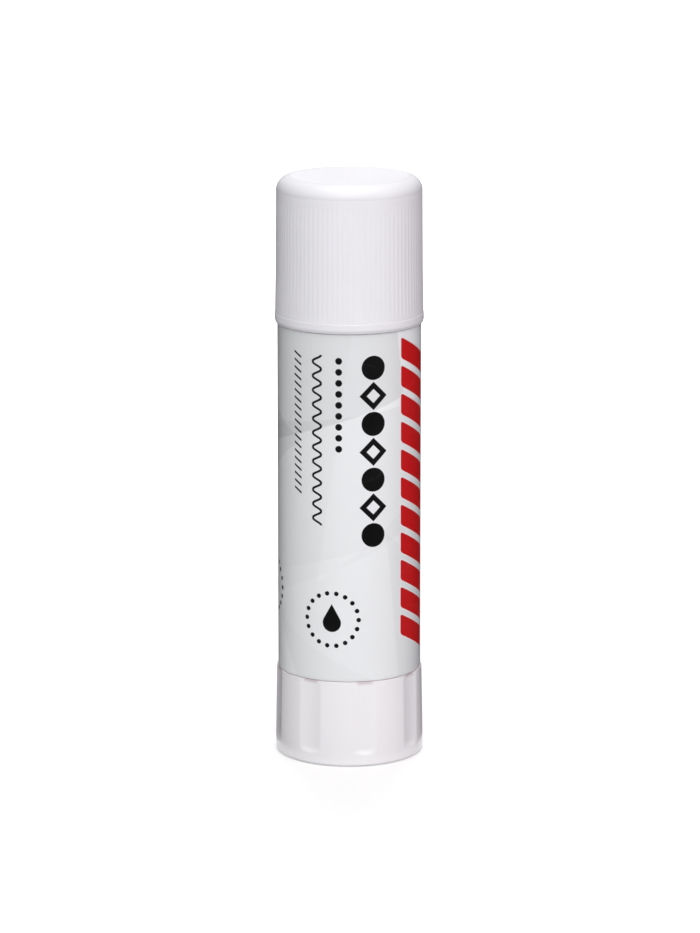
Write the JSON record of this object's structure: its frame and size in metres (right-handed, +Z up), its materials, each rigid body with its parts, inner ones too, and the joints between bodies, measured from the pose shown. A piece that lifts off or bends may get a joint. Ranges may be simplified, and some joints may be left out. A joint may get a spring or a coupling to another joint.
{
  "type": "glue stick",
  "caption": "Twist-up glue stick: a round tube with a wrapped label, a ribbed push-on cap, and a fluted knob that turns a screw to raise the glue.",
  "frame": {"origin": "centre of the flat foot ring under the knob, on the surface that the stick stands on", "axes": "+Z up along the stick's axis, from the knob to the cap; -Y is the front, the side that the picture shows"},
  "size_m": [0.027, 0.027, 0.1063],
  "materials": {
    "cap": "semi-gloss moulded plastic",
    "knob": "semi-gloss moulded plastic",
    "barrel": "semi-gloss moulded plastic",
    "label": "printed satin film",
    "spindle": "unpolished moulded plastic",
    "carrier": "unpolished moulded plastic",
    "glue": "waxy, slightly translucent"
  },
  "bodies": {
    "barrel": {"barrel": "barrel", "label": "label"},
    "knob": {"knob": "knob", "spindle": "spindle"},
    "carrier": {"carrier": "carrier", "glue": "glue"},
    "cap": {"cap": "cap"}
  },
  "joints": [
    {"name": "knob_turn", "type": "hinge", "parent": "barrel", "child": "knob", "pos_m": [0, 0, 0.008], "axis": [0, 0, 1], "range_deg": [0, 3600]},
    {"name": "carrier_rise", "type": "slide", "parent": "barrel", "child": "carrier", "axis": [0, 0, 1], "range_m": [0, 0.06]},
    {"name": "cap_lift", "type": "slide", "parent": "carrier", "child": "cap", "axis": [0, 0, 1], "range_m": [0, 0.04]}
  ],
  "couplings": [
    {"joint": "knob_turn", "follows": "carrier_rise", "rad_per_m": 1047.2}
  ]
}
